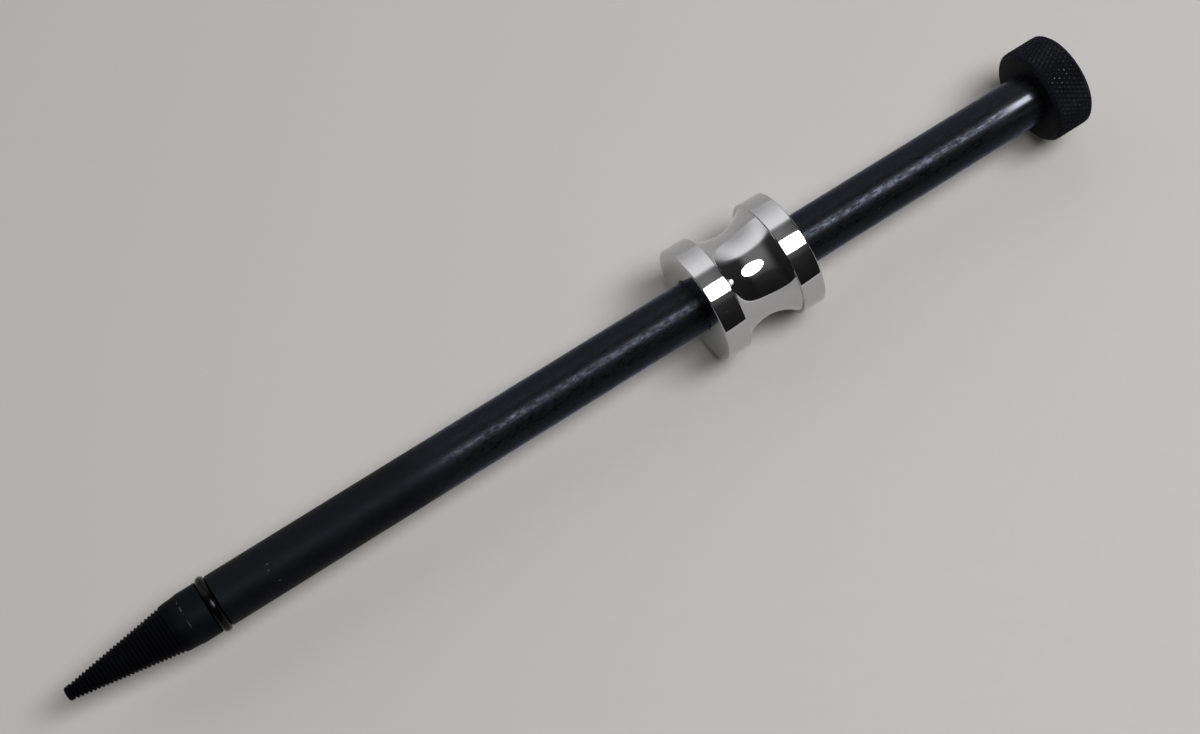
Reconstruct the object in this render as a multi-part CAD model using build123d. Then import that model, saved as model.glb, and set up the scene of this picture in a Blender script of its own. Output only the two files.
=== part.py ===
from build123d import *
import math
import os

# A slide-hammer puller that lies along X: the threaded tip points to -X and the knurled cap is at +X.
# Stations are millimetres along the rod's axis, counted from the nose of the tip.
# The origin is under the middle of the tool, level with the lowest point of the weight.

# Overall
overall_length = 301.0
rod_radius = 7.0
flange_radius = 16.3
axis_height = flange_radius

# Threaded tip
nose_radius = 1.78
nose_chamfer = 0.35
cone_slope = 0.161            # radius gained per millimetre of length
thread_start = 0.75
thread_end = 30.4
thread_pitch = 1.05
thread_depth = 0.42
thread_crest = 0.14
shoulder_radius = 6.88        # where the cone's rounded end meets the collar
collar_start = 33.6
collar_edge = 0.12
collar_end = 39.2
collar_chamfer = 0.2

# Ring groove and ring
groove_end = 42.0             # also the rod's front face
neck_radius = 5.1
ring_section = 1.325

# Stud of the tip, in the rod's tapped hole
stud_radius = 4.0
stud_length = 16.0
socket_depth = 19.0
screw_clearance = 0.025
stud_chamfer = 0.6

# Rod
rod_end_chamfer = 0.25
spigot_radius = 5.0
spigot_length = 8.6

# Knurled cap
cap_start = 289.7
cap_radius = 13.25
cap_chamfer = 0.9
cap_socket_depth = 9.2

# Sliding weight
weight_start = 182.4
weight_length = 29.8
flange_width = 6.6
flange_chamfer = 0.4
waist_radius = 12.3
waist_edge_radius = 15.3      # where the hollow of the waist meets the flange's inner face
bore_clearance = 0.06
bore_chamfer = 0.6


def turned(outline):
    """Turn a closed outline, drawn as (station, radius), about the rod's axis."""
    face = Plane.XZ * make_face(outline)
    solid = revolve(face, axis=Axis.X)
    return Pos(-overall_length / 2, 0, axis_height) * solid


def cone_radius(station):
    """Radius over the crests of the taper thread."""
    return nose_radius + cone_slope * station


def thread_points():
    """Crests and roots of the taper thread, drawn as V-shaped rings one pitch apart."""
    points = []
    turns = int((thread_end - thread_start) / thread_pitch)
    for turn in range(turns):
        crest = thread_start + turn * thread_pitch
        root = crest + (thread_crest + thread_pitch) / 2
        points.append((crest, cone_radius(crest)))
        points.append((crest + thread_crest, cone_radius(crest + thread_crest)))
        points.append((root, cone_radius(root) - thread_depth))
    return points


def make_threaded_tip():
    """Cone, collar, neck under the ring, and the stud that screws into the rod."""
    stud_outer = stud_radius - screw_clearance
    stud_end = groove_end + stud_length
    front = [(0, 0), (0, nose_radius - nose_chamfer), (nose_chamfer, cone_radius(nose_chamfer))]
    front += thread_points()
    front += [(thread_end, cone_radius(thread_end))]
    shoulder_start = (thread_end, cone_radius(thread_end))
    shoulder_end = (collar_start - collar_edge, shoulder_radius)
    back = [
        shoulder_end,
        (collar_start, rod_radius),
        (collar_end - collar_chamfer, rod_radius),
        (collar_end, rod_radius - collar_chamfer),
        (collar_end, neck_radius),
        (groove_end, neck_radius),
        (groove_end, stud_outer),
        (stud_end - stud_chamfer, stud_outer),
        (stud_end, stud_outer - stud_chamfer),
        (stud_end, 0),
        (0, 0),
    ]
    shoulder = TangentArc([shoulder_start, shoulder_end], tangent=(1, cone_slope))
    return turned([Polyline(*front), shoulder, Polyline(*back)])


def make_o_ring():
    """Rubber ring that sits on the neck, a little prouder than the rod."""
    ring = Torus(neck_radius + ring_section, ring_section)
    station = (collar_end + groove_end) / 2
    return Pos(station - overall_length / 2, 0, axis_height) * Rot(0, 90, 0) * ring


def make_rod():
    """Plain rod, with the tip's tapped hole in front and the cap's spigot behind."""
    spigot_end = cap_start + spigot_length
    drill_cone = stud_radius / math.tan(math.radians(59))
    socket_end = groove_end + socket_depth
    outline = [
        (socket_end + drill_cone, 0),
        (socket_end, stud_radius),
        (groove_end, stud_radius),
        (groove_end, rod_radius - rod_end_chamfer),
        (groove_end + rod_end_chamfer, rod_radius),
        (cap_start, rod_radius),
        (cap_start, spigot_radius),
        (spigot_end - stud_chamfer, spigot_radius),
        (spigot_end, spigot_radius - stud_chamfer),
        (spigot_end, 0),
    ]
    return turned(Polyline(*outline, close=True))


def make_sliding_weight():
    """Spool: two flanges, a hollow waist for the fingers, and a running bore."""
    weight_end = weight_start + weight_length
    left = weight_start + flange_width
    right = weight_end - flange_width
    middle = (left + right) / 2
    bore = rod_radius + bore_clearance
    waist = ThreePointArc((left, waist_edge_radius), (middle, waist_radius), (right, waist_edge_radius))
    rest = Polyline(
        (right, waist_edge_radius),
        (right, flange_radius),
        (weight_end - flange_chamfer, flange_radius),
        (weight_end, flange_radius - flange_chamfer),
        (weight_end, bore + bore_chamfer),
        (weight_end - bore_chamfer, bore),
        (weight_start + bore_chamfer, bore),
        (weight_start, bore + bore_chamfer),
        (weight_start, flange_radius - flange_chamfer),
        (weight_start + flange_chamfer, flange_radius),
        (left, flange_radius),
        (left, waist_edge_radius),
    )
    # The solid's seam is turned to the upper side
    return Pos(0, 0, axis_height) * Rot(180, 0, 0) * Pos(0, 0, -axis_height) * turned([waist, rest])


def make_knurled_cap():
    """Stop for the weight, with a blind hole for the rod's spigot; its rim is the knurl's outer size."""
    hole = spigot_radius + screw_clearance
    hole_end = cap_start + cap_socket_depth
    outline = [
        (hole_end, 0),
        (hole_end, hole),
        (cap_start, hole),
        (cap_start, cap_radius - cap_chamfer),
        (cap_start + cap_chamfer, cap_radius),
        (overall_length - cap_chamfer, cap_radius),
        (overall_length, cap_radius - cap_chamfer),
        (overall_length, 0),
    ]
    return turned(Polyline(*outline, close=True))


parts = {
    "threaded_tip": make_threaded_tip(),
    "o_ring": make_o_ring(),
    "rod": make_rod(),
    "sliding_weight": make_sliding_weight(),
    "knurled_cap": make_knurled_cap(),
}

os.makedirs("parts", exist_ok=True)
for name, shape in parts.items():
    export_step(shape, f"parts/{name}.step")
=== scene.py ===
"""A slide-hammer puller with a self-threading tip, lying on a pale table top.

Every outline is drawn as (station, radius) in millimetres. A station is the distance along the rod's
axis from the nose of the tip. Each piece's own origin is the nose point on that axis, so its local X is
the station.
"""

import math

import bpy
from mathutils import Matrix, Vector


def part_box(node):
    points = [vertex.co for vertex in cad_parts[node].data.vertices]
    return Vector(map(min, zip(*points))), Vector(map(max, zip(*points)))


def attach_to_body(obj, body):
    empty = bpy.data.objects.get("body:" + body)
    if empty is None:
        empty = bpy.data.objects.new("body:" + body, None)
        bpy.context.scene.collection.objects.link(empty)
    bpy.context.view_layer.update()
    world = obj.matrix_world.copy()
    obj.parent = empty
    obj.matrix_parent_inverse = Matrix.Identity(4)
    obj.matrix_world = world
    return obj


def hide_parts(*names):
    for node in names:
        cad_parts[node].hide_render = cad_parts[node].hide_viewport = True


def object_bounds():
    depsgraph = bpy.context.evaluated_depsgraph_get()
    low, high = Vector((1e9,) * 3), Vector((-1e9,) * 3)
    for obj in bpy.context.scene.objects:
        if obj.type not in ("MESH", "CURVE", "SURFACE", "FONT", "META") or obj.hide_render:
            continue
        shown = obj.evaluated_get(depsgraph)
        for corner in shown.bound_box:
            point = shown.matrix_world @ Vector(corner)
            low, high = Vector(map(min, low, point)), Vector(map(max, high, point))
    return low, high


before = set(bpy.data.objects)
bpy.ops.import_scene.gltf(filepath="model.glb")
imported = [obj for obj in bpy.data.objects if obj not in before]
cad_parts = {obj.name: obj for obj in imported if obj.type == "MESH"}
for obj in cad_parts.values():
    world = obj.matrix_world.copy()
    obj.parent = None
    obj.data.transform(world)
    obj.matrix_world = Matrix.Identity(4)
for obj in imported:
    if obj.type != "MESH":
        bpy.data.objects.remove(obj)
cad_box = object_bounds()

MM = 0.001

# ---------------------------------------------------------------- places and sizes, from the frame
tip_low, tip_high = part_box("threaded_tip")
ring_low, ring_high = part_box("o_ring")
rod_low, rod_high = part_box("rod")
weight_low, weight_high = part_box("sliding_weight")
cap_low, cap_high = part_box("knurled_cap")

nose = Vector((tip_low.x, 0.0, (rod_low.z + rod_high.z) / 2))


def station(x):
    """Millimetres from the nose to a place along X."""
    return (x - nose.x) / MM


rod_radius = (rod_high.z - rod_low.z) / 2 / MM
rod_start = station(rod_low.x)
spigot_end = station(rod_high.x)
ring_radius = (ring_high.z - ring_low.z) / 2 / MM
ring_start = station(ring_low.x)
ring_end = station(ring_high.x)
weight_start = station(weight_low.x)
weight_end = station(weight_high.x)
flange_radius = (weight_high.z - weight_low.z) / 2 / MM
cap_start = station(cap_low.x)
cap_end = station(cap_high.x)
cap_radius = (cap_high.z - cap_low.z) / 2 / MM
stud_end = station(tip_high.x)

# Threaded tip
nose_flat = 1.42                 # radius of the flat end of the nose
nose_end = 0.3                   # where the nose's rounded edge meets the cone
nose_radius = 1.78
cone_slope = 0.161
thread_start = 0.45
thread_end = 30.4
thread_pitch = 1.05
thread_depth = 0.42
thread_margin = 0.05             # plain cone left after the last turn
groove_in = 0.6                  # pitches over which the groove deepens
groove_out = 0.7                 # and dies away
crest_width = 0.14
root_width = 0.10
shoulder_radius = 6.88
shoulder_dip = 0.13              # how much lower the middle of the shoulder's arc lies
shoulder_lap = 0.02              # plain ring just before the shoulder
collar_start = 33.6
collar_edge = 0.12               # length of the edge in front of the collar, where a highlight is painted
collar_end = ring_start - 0.08
neck_radius = 5.1
stud_radius = 3.975
screw_chamfer = 0.6              # on the stud's end and on the spigot's

# Ring
ring_squash = 0.03               # gap left between the neck and the flattened inside of the ring

# Rod
rod_edge = 0.3
socket_depth = 19.0
socket_radius = 4.0
drill_angle = math.radians(59)   # half the angle of the drill's point
spigot_radius = 5.0

# Weight
flange_width = 6.6
flange_edge = 0.45               # rounding of the flange's outer edge
flange_inner_edge = 0.15         # and of its edge on the waist's side
waist_radius = 12.3
waist_edge_radius = 15.3
bore_radius = 7.06
bore_chamfer = 0.6

# Cap
cap_chamfer = 0.9
face_edge = 0.12                 # the small edge of the cap's faces: its width in radius
face_drop = 0.04                 # and along the rod
knurl_count = 62
knurl_rows = 8
knurl_depth = 0.34
knurl_flat = 0.20
cap_hole_radius = 5.03
cap_hole_end = cap_start + 9.2


# ---------------------------------------------------------------- mesh tools
def cone_radius(at):
    """Radius over the crests of the taper thread."""
    return nose_radius + cone_slope * at


def rounded(corners, steps=6):
    """An outline whose corners (station, radius, fillet) become arcs; a corner with no fillet stays sharp."""
    points = []
    count = len(corners)
    for k, corner in enumerate(corners):
        here = Vector(corner[:2])
        fillet = corner[2] if len(corner) > 2 else 0.0
        if not fillet or k in (0, count - 1):
            points.append(here)
            continue
        before = (Vector(corners[k - 1][:2]) - here).normalized()
        after = (Vector(corners[k + 1][:2]) - here).normalized()
        half = before.angle(after) / 2
        centre = here + (before + after).normalized() * (fillet / math.sin(half))
        first = here + before * (fillet / math.tan(half)) - centre
        last = here + after * (fillet / math.tan(half)) - centre
        turn = first.angle_signed(last)
        for n in range(steps + 1):
            spin = Matrix.Rotation(-turn * n / steps, 2)
            points.append(centre + spin @ first)
    return [(p.x, p.y) for p in points]


def arc(first, middle, last, steps=24):
    """Points on the circle through three (station, radius) points."""
    (ax, ay), (bx, by), (cx, cy) = first, middle, last
    d = 2 * (ax * (by - cy) + bx * (cy - ay) + cx * (ay - by))
    a2, b2, c2 = ax * ax + ay * ay, bx * bx + by * by, cx * cx + cy * cy
    ux = (a2 * (by - cy) + b2 * (cy - ay) + c2 * (ay - by)) / d
    uy = (a2 * (cx - bx) + b2 * (ax - cx) + c2 * (bx - ax)) / d
    start = Vector((ax - ux, ay - uy))
    turn = start.angle_signed(Vector((cx - ux, cy - uy)))
    points = []
    for n in range(steps + 1):
        p = Matrix.Rotation(-turn * n / steps, 2) @ start
        points.append((ux + p.x, uy + p.y))
    return points


class Shell:
    """Collects vertices and faces round the rod's axis, in millimetres."""

    def __init__(self, around):
        self.around = around
        self.vertices = []
        self.faces = []

    def point(self, at, radius, angle):
        self.vertices.append((at, radius * math.cos(angle), radius * math.sin(angle)))
        return len(self.vertices) - 1

    def ring(self, at, radius):
        """A full ring of vertices, or one vertex on the axis."""
        if radius < 1e-6:
            return [self.point(at, 0.0, 0.0)]
        return [self.point(at, radius, math.tau * i / self.around) for i in range(self.around)]

    def strip(self, first, second):
        """Faces between two rings, either of which may be a single point."""
        for i in range(self.around):
            j = (i + 1) % self.around
            if len(first) == 1:
                self.faces.append((first[0], second[j], second[i]))
            elif len(second) == 1:
                self.faces.append((first[i], first[j], second[0]))
            else:
                self.faces.append((first[i], first[j], second[j], second[i]))

    def lathe(self, outline, begin=None):
        """Turn an outline; `begin` is a ring that it grows from. Returns its last ring."""
        last = begin
        for at, radius in outline:
            here = self.ring(at, radius)
            if last is not None:
                self.strip(last, here)
            last = here
        return last

    def build(self, name, sharp_degrees=25.0):
        mesh = bpy.data.meshes.new(name)
        mesh.from_pydata([[MM * c for c in v] for v in self.vertices], [], self.faces)
        mesh.validate()
        piece = bpy.data.objects.new(name, mesh)
        bpy.context.scene.collection.objects.link(piece)
        piece.location = nose
        mesh.shade_smooth()
        mesh.set_sharp_from_angle(angle=math.radians(sharp_degrees))
        return piece


# ---------------------------------------------------------------- pieces
def make_tip():
    """Cone with a right-hand helical thread, shoulder, collar, neck under the ring, and stud."""
    shell = Shell(144)
    n = shell.around
    front = shell.lathe([(0, 0), (0, 0.8), (0, nose_flat), (0.08, 1.56), (nose_end, cone_radius(nose_end))])

    # One pitch of thread: crest, crest, root, root
    middle = (crest_width + thread_pitch) / 2
    profile = [(0.0, 0), (crest_width, 0), (middle - root_width / 2, 1), (middle + root_width / 2, 1)]
    turns = int((thread_end - thread_margin - thread_start) / thread_pitch) - 1
    rows = 4 * turns
    thread = {}
    for i in range(n):
        for j in range(rows + 1):
            offset, deep = profile[j % 4]
            at = thread_start + thread_pitch * (j // 4 + i / n) + offset
            fade_in = min(1.0, (at - thread_start) / (groove_in * thread_pitch))
            fade_out = min(1.0, (thread_end - at) / (groove_out * thread_pitch))
            radius = cone_radius(at) - thread_depth * deep * fade_in * fade_out
            thread[i, j] = shell.point(at, radius, math.tau * i / n)
    for i in range(n - 1):
        for j in range(rows):
            shell.faces.append((thread[i, j], thread[i + 1, j], thread[i + 1, j + 1], thread[i, j + 1]))
    for j in range(rows - 4):
        shell.faces.append((thread[n - 1, j], thread[0, j + 4], thread[0, j + 5], thread[n - 1, j + 1]))

    back_at = thread_end - shoulder_lap
    back = shell.ring(back_at, cone_radius(back_at))
    for i in range(n - 1):
        shell.faces.append((front[i], front[i + 1], thread[i + 1, 0], thread[i, 0]))
        shell.faces.append((thread[i, rows], thread[i + 1, rows], back[i + 1], back[i]))
    shell.faces.append([front[n - 1], front[0]] + [thread[0, j] for j in range(5)] + [thread[n - 1, 0]])
    shell.faces.append([thread[n - 1, rows - 4], thread[0, rows], back[0], back[n - 1]]
                       + [thread[n - 1, rows - k] for k in range(4)])

    # Shoulder: the cone's end swells out and turns in to the collar's edge, where a highlight is painted
    swell = (collar_start - thread_end) / 2
    shoulder = arc((thread_end, cone_radius(thread_end)),
                   (thread_end + swell, shoulder_radius - shoulder_dip),
                   (collar_start - collar_edge, shoulder_radius), 10)
    collar = rounded([
        (collar_start - collar_edge, shoulder_radius),
        (collar_start, rod_radius, 0.07),
        (collar_end, rod_radius, 0.18),
        (collar_end, neck_radius),
    ])
    stem = [
        (rod_start, neck_radius),
        (rod_start, stud_radius),
        (stud_end - screw_chamfer, stud_radius),
        (stud_end, stud_radius - screw_chamfer),
        (stud_end, 0),
    ]
    shell.lathe(shoulder + collar[1:] + stem, back)
    return shell.build("tip_with_helical_thread", 22.0)


def make_ring():
    """Rubber ring, a little flattened where it sits on the neck."""
    shell = Shell(128)
    centre = (ring_start + ring_end) / 2
    section = (ring_end - ring_start) / 2
    middle = ring_radius - section
    outline = []
    for k in range(32):
        angle = math.tau * k / 32
        radius = middle - section * math.cos(angle)
        outline.append((centre + section * math.sin(angle), max(radius, neck_radius + ring_squash)))
    first = shell.ring(*outline[0])
    last = shell.lathe(outline[1:], first)
    shell.strip(last, first)
    return shell.build("rubber_ring", 60.0)


def make_rod():
    """Rod with the tip's tapped hole in front and the cap's spigot behind."""
    shell = Shell(144)
    drill_cone = socket_radius / math.tan(drill_angle)
    outline = rounded([
        (rod_start + socket_depth + drill_cone, 0),
        (rod_start + socket_depth, socket_radius),
        (rod_start, socket_radius),
        (rod_start, rod_radius, rod_edge),
        (cap_start, rod_radius),
        (cap_start, spigot_radius),
        (spigot_end - screw_chamfer, spigot_radius),
        (spigot_end, spigot_radius - screw_chamfer),
        (spigot_end, 0),
    ])
    shell.lathe(outline)
    return shell.build("blackened_rod")


def make_weight():
    """Chrome spool: two flanges, a hollow waist and a running bore."""
    shell = Shell(192)
    left, right = weight_start + flange_width, weight_end - flange_width
    waist = arc((left, waist_edge_radius), ((left + right) / 2, waist_radius), (right, waist_edge_radius), 48)
    near = rounded([
        (weight_start, bore_radius + bore_chamfer),
        (weight_start, flange_radius, flange_edge),
        (left, flange_radius, flange_inner_edge),
        (left, waist_edge_radius),
    ])
    far = rounded([
        (right, waist_edge_radius),
        (right, flange_radius, flange_inner_edge),
        (weight_end, flange_radius, flange_edge),
        (weight_end, bore_radius + bore_chamfer),
    ])
    bore = [(weight_end - bore_chamfer, bore_radius), (weight_start + bore_chamfer, bore_radius)]
    outline = near[:-1] + waist + far[1:] + bore
    first = shell.ring(*outline[0])
    last = shell.lathe(outline[1:], first)
    shell.strip(last, first)
    return shell.build("chrome_weight", 28.0)


def make_cap():
    """Stop cap with a diamond knurl cut round its rim."""
    shell = Shell(2 * knurl_count)
    n = shell.around
    rim_start, rim_end = cap_start + cap_chamfer, cap_end - cap_chamfer
    row = (rim_end - rim_start) / knurl_rows
    groove_radius = cap_radius - knurl_depth

    def place(i, j, radius):
        return shell.point(rim_start + row * j, radius, math.tau * i / n)

    # Groove crossings where i + j is even, and a flat-topped pyramid round every other lattice point
    crossing = {}
    for j in range(knurl_rows + 1):
        for i in range(n):
            if (i + j) % 2 == 0:
                crossing[i, j] = place(i, j, groove_radius)
    edge = {0: {}, knurl_rows: {}}
    for j in range(knurl_rows + 1):
        for i in range(n):
            if (i + j) % 2 == 0:
                continue
            left, right = crossing[(i - 1) % n, j], crossing[(i + 1) % n, j]
            if j in edge:
                peak = place(i, j, cap_radius)
                edge[j][i] = peak
                inner = crossing[i, 1 if j == 0 else knurl_rows - 1]
                if j == 0:
                    shell.faces += [(left, peak, inner), (peak, right, inner)]
                else:
                    shell.faces += [(peak, left, inner), (right, peak, inner)]
                continue
            near, far = crossing[i, j - 1], crossing[i, j + 1]
            top = [place(i - knurl_flat, j, cap_radius), place(i, j - knurl_flat, cap_radius),
                   place(i + knurl_flat, j, cap_radius), place(i, j + knurl_flat, cap_radius)]
            base = [left, near, right, far]
            shell.faces.append(top)
            for k in range(4):
                m = (k + 1) % 4
                shell.faces.append((base[k], base[m], top[m], top[k]))
    for i in range(n):
        for j in edge:
            if (i + j) % 2 == 0:
                edge[j][i] = crossing[i, j]
    near_edge = [edge[0][i] for i in range(n)]
    far_edge = [edge[knurl_rows][i] for i in range(n)]

    face_radius = cap_radius - cap_chamfer
    near_outline = [
        (cap_hole_end, 0),
        (cap_hole_end, cap_hole_radius),
        (cap_start, cap_hole_radius),
        (cap_start, rod_radius + 1.0),
        (cap_start, face_radius - face_edge),
        (cap_start + face_drop, face_radius),
    ]
    near = shell.lathe(near_outline)
    shell.strip(near, near_edge)
    far = shell.ring(cap_end - face_drop, face_radius)
    shell.strip(far_edge, far)
    shell.lathe([(cap_end, face_radius - face_edge), (cap_end, 6.0), (cap_end, 0)], far)
    return shell.build("cap_with_knurl", 20.0)


# ---------------------------------------------------------------- material tools
class Nodes:
    """Short names for building a node tree."""

    def __init__(self, tree):
        self.tree = tree
        self.tree.nodes.clear()

    def add(self, kind, **settings):
        node = self.tree.nodes.new(kind)
        for key, value in settings.items():
            setattr(node, key, value)
        return node

    def link(self, source, target):
        self.tree.links.new(source, target)

    def put(self, socket, value):
        """Give a socket a constant, a colour, or another socket's output."""
        if isinstance(value, bpy.types.NodeSocket):
            self.link(value, socket)
        else:
            socket.default_value = value

    def math(self, operation, first, second=0.0):
        node = self.add("ShaderNodeMath", operation=operation)
        self.put(node.inputs[0], first)
        self.put(node.inputs[1], second)
        return node.outputs[0]

    def fit(self, value, low, high, to_low=0.0, to_high=1.0, kind="SMOOTHSTEP"):
        """Map low..high to to_low..to_high, clamped."""
        node = self.add("ShaderNodeMapRange", interpolation_type=kind)
        for socket, number in zip(node.inputs, (value, low, high, to_low, to_high)):
            self.put(socket, number)
        return node.outputs["Result"]

    def between(self, value, rise, fall):
        """0, then up to 1 over the pair `rise`, then down to 0 over the pair `fall`."""
        return self.math("MULTIPLY", self.fit(value, *rise), self.fit(value, *fall, 1.0, 0.0))

    def mix(self, share, first, second):
        """A colour between first and second."""
        node = self.add("ShaderNodeMix", data_type="RGBA")
        self.put(node.inputs[0], share)
        self.put(node.inputs[6], first)
        self.put(node.inputs[7], second)
        return node.outputs[2]

    def blend(self, share, first, second):
        """A number between first and second."""
        node = self.add("ShaderNodeMix", data_type="FLOAT")
        self.put(node.inputs[0], share)
        self.put(node.inputs[2], first)
        self.put(node.inputs[3], second)
        return node.outputs[0]

    def split(self, vector):
        """The vector's three numbers."""
        node = self.add("ShaderNodeSeparateXYZ")
        self.link(vector, node.inputs[0])
        return node.outputs

    def ramp(self, value, levels):
        """Greys between (place, level) pairs, where a place is from 0 to 1."""
        node = self.add("ShaderNodeValToRGB")
        self.link(value, node.inputs["Fac"])
        stops = node.color_ramp.elements
        while len(stops) < len(levels):
            stops.new(0.5)
        for stop, (place, level) in zip(stops, levels):
            stop.position = place
            stop.color = grey(level)
        return node.outputs["Color"]


class Surface(Nodes):
    """A material with one shader, worked out from the piece's own coordinates."""

    def __init__(self, name):
        self.material = bpy.data.materials.new(name)
        self.material.use_nodes = True
        super().__init__(self.material.node_tree)
        self.shader = self.add("ShaderNodeBsdfPrincipled")
        output = self.add("ShaderNodeOutputMaterial")
        self.link(self.shader.outputs["BSDF"], output.inputs["Surface"])
        self.place = self.add("ShaderNodeTexCoord").outputs["Object"]

    def set(self, name, value):
        """Give one of the shader's sockets a constant, a colour, or another socket's output."""
        self.put(self.shader.inputs[name], value)

    def stretched(self, x, y, z):
        """The piece's own coordinates, scaled differently along and across the rod."""
        node = self.add("ShaderNodeVectorMath", operation="MULTIPLY")
        self.link(self.place, node.inputs[0])
        node.inputs[1].default_value = (x, y, z)
        return node.outputs[0]

    def noise(self, vector, scale, detail=3.0, roughness=0.55):
        node = self.add("ShaderNodeTexNoise")
        self.link(vector, node.inputs["Vector"])
        node.inputs["Scale"].default_value = scale
        node.inputs["Detail"].default_value = detail
        node.inputs["Roughness"].default_value = roughness
        return node.outputs["Fac"]

    def bump(self, height, distance, strength):
        """Let `height` raise the surface by up to `distance` metres."""
        node = self.add("ShaderNodeBump")
        node.inputs["Strength"].default_value = strength
        node.inputs["Distance"].default_value = distance
        self.link(height, node.inputs["Height"])
        self.link(node.outputs["Normal"], self.shader.inputs["Normal"])

    def axes(self):
        """(station, Y, Z) of the point, in metres."""
        return self.split(self.place)

    def distance(self, first, second):
        """Length of the two coordinates taken together."""
        squares = [self.math("POWER", value, 2.0) for value in (first, second)]
        return self.math("SQRT", self.math("ADD", *squares))


def grey(level, tint=(1.0, 1.0, 1.0)):
    return tuple(level * t for t in tint) + (1.0,)


# ---------------------------------------------------------------- materials
def black_steel(name, base=0.003, sheen=0.075, rough=(0.44, 0.60)):
    """Black oxide on steel: near black and dull, with fine grain."""
    m = Surface(name)
    grain = m.noise(m.place, 2600, 4, 0.6)
    cloud = m.noise(m.place, 110, 4, 0.6)
    blue = (0.90, 0.95, 1.35)
    m.colour = m.mix(cloud, grey(base * 0.75, blue), grey(base * 1.4, blue))
    m.rough = m.fit(m.math("ADD", grain, cloud), 0.7, 1.3, *rough)
    m.set("Specular IOR Level", sheen)
    m.set("Specular Tint", (0.78, 0.82, 1.0, 1.0))
    m.bump(grain, 0.00001, 0.5)
    return m


def wear_and_painted_highlight(m, amount, shine, rough=0.17):
    """Where `amount` is 1, the oxide is a smooth dark metal that reflects the share `shine`: burnished wear,
    and in places a painted highlight.
    """
    m.colour = m.mix(amount, m.colour, shine)
    m.set("Base Color", m.colour)
    m.set("Roughness", m.blend(amount, m.rough, rough))
    m.set("Metallic", amount)
    return m


def rod_steel():
    """The weight has rubbed the rod along its stroke; a painted highlight makes a patch on top before the cap
    shine most.
    """
    m = black_steel("black_oxide_rod")
    x, y, z = m.axes()
    m.colour = m.mix(m.fit(x, 0.06, 0.25, 0.0, 0.6), m.colour, grey(0.0008))

    # Rubbed marks, in patches and lengthwise streaks
    stroke = m.fit(x, 0.093, 0.114, 0.0, 0.95)
    patch = m.noise(m.stretched(0.5, 1.0, 1.0), 1100, 3, 0.6)
    streak = m.noise(m.stretched(0.08, 1.0, 1.0), 2600, 3, 0.65)
    marks = m.fit(m.math("ADD", patch, m.math("MULTIPLY", streak, 0.5)), 0.50, 1.02, 0.30, 1.0)

    # Painted highlight: a shinier patch before the cap, kept to the top side toward the lamps, where their
    # streak falls
    top = m.math("MULTIPLY", m.between(y, (-0.0052, -0.0034), (-0.0008, 0.0014)), m.fit(z, 0.0, 0.003))
    highlight_patch = m.math("MULTIPLY", m.fit(x, 0.270, 0.284), top)

    shine = m.mix(highlight_patch, grey(0.0175, (0.88, 0.92, 1.20)), grey(0.042, (0.93, 0.96, 1.10)))
    wear_and_painted_highlight(m, m.math("MULTIPLY", stroke, m.math("MAXIMUM", marks, highlight_patch)), shine)
    specks = m.fit(m.noise(m.stretched(0.4, 1.0, 1.0), 520, 2, 0.5), 0.735, 0.76)
    m.set("Base Color", m.mix(specks, m.colour, grey(0.040, (0.95, 0.98, 1.1))))
    return m


def tip_steel():
    """Blacker on the thread, greyer and scuffed on the collar, with a painted highlight on the upper part of
    the edge between them.
    """
    m = black_steel("black_oxide_tip", base=0.0010, sheen=0.035)
    x, y, z = m.axes()
    edge_at = collar_start * MM
    collar = m.fit(x, 0.0300, edge_at)
    m.colour = m.mix(collar, m.colour, grey(0.0030, (0.88, 1.0, 1.15)))
    # Painted highlight: a bright line on the collar's edge, kept to its upper part on the lamps' side and
    # broken by noise; the collar's scuffs below are real wear
    edge = m.between(x, (edge_at - 0.00025, edge_at - 0.00012), (edge_at + 0.00002, edge_at + 0.00016))
    highlight_side = m.math("MULTIPLY", m.fit(z, 0.0035, 0.0060), m.fit(y, -0.0045, -0.0015))
    broken = m.fit(m.noise(m.place, 330, 3, 0.6), 0.45, 0.60)
    edge = m.math("MULTIPLY", edge, m.math("MULTIPLY", broken, highlight_side))
    scuff = m.fit(m.noise(m.stretched(1.0, 0.4, 0.4), 1000, 3, 0.6), 0.68, 0.74, 0.0, 0.35)
    scuff = m.math("MULTIPLY", scuff, collar)
    return wear_and_painted_highlight(m, m.math("MAXIMUM", edge, scuff), grey(0.10), rough=0.35)


def cap_steel():
    """Black oxide, a little worn on the points of the knurl."""
    m = black_steel("black_oxide_cap", base=0.0038, sheen=0.04, rough=(0.40, 0.52))
    x, y, z = m.axes()
    crest = m.fit(m.distance(y, z), (cap_radius - 0.06) * MM, (cap_radius - 0.01) * MM)
    spot = m.fit(m.noise(m.place, 700, 2, 0.5), 0.45, 0.60, 0.1, 0.6)
    return wear_and_painted_highlight(m, m.math("MULTIPLY", crest, spot), grey(0.050), rough=0.24)


def chrome():
    """Chrome plate with faint smears and a few dull specks."""
    m = Surface("chrome_plate")
    smear = m.noise(m.stretched(1, 4, 4), 150, 5, 0.65)
    speck = m.fit(m.noise(m.stretched(0.45, 1, 1), 700, 2, 0.5), 0.745, 0.80, 0.0, 0.7)
    colour = m.mix(smear, grey(0.52, (1, 1, 1.02)), grey(0.56, (1, 1, 1.02)))
    m.set("Base Color", m.mix(speck, colour, grey(0.22)))
    m.set("Roughness", m.blend(speck, m.fit(smear, 0.35, 0.75, 0.03, 0.07), 0.3))
    m.set("Metallic", 1.0)
    m.bump(m.noise(m.place, 60, 2, 0.5), 0.00002, 0.15)
    return m


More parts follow.
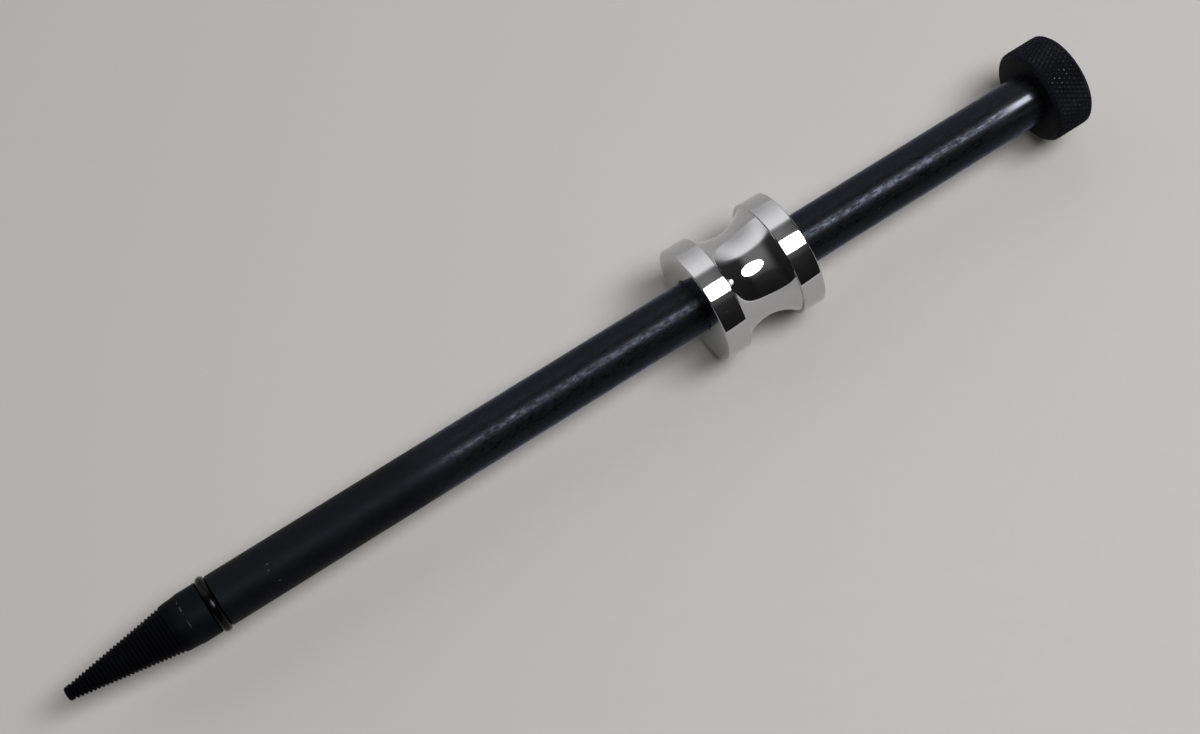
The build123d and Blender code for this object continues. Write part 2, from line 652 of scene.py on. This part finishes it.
def rubber():
    """Smooth black rubber, a little cloudy."""
    m = Surface("black_rubber")
    cloud = m.noise(m.place, 700, 4, 0.6)
    m.set("Base Color", m.mix(cloud, grey(0.0008), grey(0.0016)))
    m.set("Roughness", m.fit(cloud, 0.3, 0.7, 0.10, 0.16))
    m.set("Specular IOR Level", 0.10)
    m.bump(m.noise(m.place, 5000, 3), 0.000006, 0.4)
    return m


def table_top():
    """Warm grey laminate, painted darker near the tool, where the lamps are bright, and paler far away, where
    they are dim, so that the floor looks evenly lit.
    """
    m = Surface("pale_table_top")
    x, y, z = m.axes()
    broad = m.noise(m.place, 2.2, 3, 0.5)
    near = m.mix(broad, (0.336, 0.329, 0.319, 1), (0.350, 0.343, 0.335, 1))
    # Painted light: paler away from the tool, making up for the lamps' light that falls off there
    away = m.fit(m.distance(x, y), 0.25, 1.2)
    m.set("Base Color", m.mix(away, near, (0.80, 0.79, 0.775, 1)))
    m.set("Roughness", m.fit(m.noise(m.place, 260, 4, 0.6), 0.3, 0.7, 0.55, 0.7))
    m.set("Specular IOR Level", 0.1)
    return m


# ---------------------------------------------------------------- build, finish and attach the pieces
def attach(piece, body, node, surface):
    """Give a piece its material, and let it stand for the CAD node on its body."""
    piece.data.materials.append(surface.material)
    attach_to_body(piece, body)
    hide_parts(node)


attach(make_tip(), "shaft", "threaded_tip", tip_steel())
attach(make_ring(), "shaft", "o_ring", rubber())
attach(make_rod(), "shaft", "rod", rod_steel())
attach(make_weight(), "weight", "sliding_weight", chrome())
attach(make_cap(), "shaft", "knurled_cap", cap_steel())


# ---------------------------------------------------------------- floor, light and camera
def make_floor():
    """A wide table top under the tool."""
    size = 6.0
    mesh = bpy.data.meshes.new("table_top")
    corners = [(-size, -size, 0), (size, -size, 0), (size, size, 0), (-size, size, 0)]
    mesh.from_pydata(corners, [], [(0, 1, 2, 3)])
    floor = bpy.data.objects.new("table_top", mesh)
    bpy.context.scene.collection.objects.link(floor)
    floor.location.z = cad_box[0].z
    mesh.materials.append(table_top().material)


def make_lamp(name, toward, distance, length, width, radiance):
    """An oval soft lamp, long side in line with the tool; `toward` points at it from the weight."""
    aim = Vector(((weight_low.x + weight_high.x) / 2, 0, nose.z))
    toward = Vector(toward).normalized()
    data = bpy.data.lights.new(name, "AREA")
    data.shape = "ELLIPSE"
    data.size = length
    data.size_y = width
    area = math.pi / 4 * length * width
    data.energy = radiance * math.pi * area
    lamp = bpy.data.objects.new(name, data)
    bpy.context.scene.collection.objects.link(lamp)
    lamp.location = aim + toward * distance
    across = toward.cross(Vector((1, 0, 0))).normalized()
    side = across.cross(toward).normalized()
    lamp.rotation_mode = "QUATERNION"
    lamp.rotation_quaternion = Matrix((side, across, toward)).transposed().to_quaternion()


def make_room():
    """Room light by a direction's angle toward +Y, for directions across the rod and for those to its ends.

    The -Y side is dark, a dim ceiling is overhead, and the light is strongest between it and the +Y side.
    """
    world = bpy.data.worlds.new("room")
    bpy.context.scene.world = world
    world.use_nodes = True
    room = Nodes(world.node_tree)
    x, y, z = room.split(room.add("ShaderNodeTexCoord").outputs["Generated"])
    angle = room.math("ARCSINE", y)

    # The ceiling's light is narrow along the rod, the wall's is wider
    along = room.math("ABSOLUTE", room.math("ADD", x, 0.06))
    width = room.fit(angle, math.radians(24), math.radians(31), 1.0, 1.6, "LINEAR")
    aside = room.fit(room.math("DIVIDE", along, width), 0.26, 0.64)

    # (degrees toward +Y, level)
    across_rod = [
        (-90, 0.010), (-60, 0.019), (-38, 0.036), (-30, 0.11), (0, 0.24), (22, 0.24), (26, 0.45),
        (30, 1.12), (38, 1.14), (48, 1.02), (57, 0.86), (67, 0.70), (75, 0.56), (90, 0.54),
    ]
    to_ends = [
        (-90, 0.009), (-45, 0.013), (-10, 0.022), (20, 0.035), (25, 0.10), (29, 0.28),
        (35, 0.46), (48, 0.55), (60, 0.55), (75, 0.50),
    ]
    turn = room.fit(angle, -math.pi / 2, math.pi / 2, kind="LINEAR")
    greys = [room.ramp(turn, [((degrees + 90) / 180, level) for degrees, level in levels])
             for levels in (across_rod, to_ends)]
    light = room.add("ShaderNodeBackground")
    room.link(room.mix(aside, *greys), light.inputs["Color"])
    room.link(light.outputs["Background"], room.add("ShaderNodeOutputWorld").inputs["Surface"])


def make_camera():
    """The photograph's viewing angle, with no shift."""
    azimuth, elevation, distance = math.radians(-33.16), math.radians(71.74), 0.4961
    off_centre = Vector((2.6, -0.6, 0)) * MM
    aim = Vector((cad_box[0] + cad_box[1]) / 2) + off_centre
    aim.z = nose.z
    back = Vector((math.sin(azimuth) * math.cos(elevation), -math.cos(azimuth) * math.cos(elevation),
                   math.sin(elevation)))
    data = bpy.data.cameras.new("camera")
    data.lens = 58.5
    data.sensor_width = 36.0
    data.clip_start = 0.01
    data.clip_end = 100.0
    camera = bpy.data.objects.new("camera", data)
    bpy.context.scene.collection.objects.link(camera)
    camera.location = aim + back * distance
    camera.rotation_mode = "QUATERNION"
    camera.rotation_quaternion = (-back).to_track_quat("-Z", "Y")
    bpy.context.scene.camera = camera


make_floor()
make_lamp("lamp_cover", toward=(0.25, -0.21, 1.0), distance=1.3, length=1.36, width=0.62, radiance=8.5)
make_lamp("lamp_core", toward=(0.44, -0.21, 1.0), distance=1.25, length=0.62, width=0.42, radiance=9.0)
make_lamp("far_lamp", toward=(0.975, -0.035, 0.20), distance=4.0, length=1.0, width=0.45, radiance=1.7)
make_room()
make_camera()
bpy.context.scene.view_settings.view_transform = "Standard"
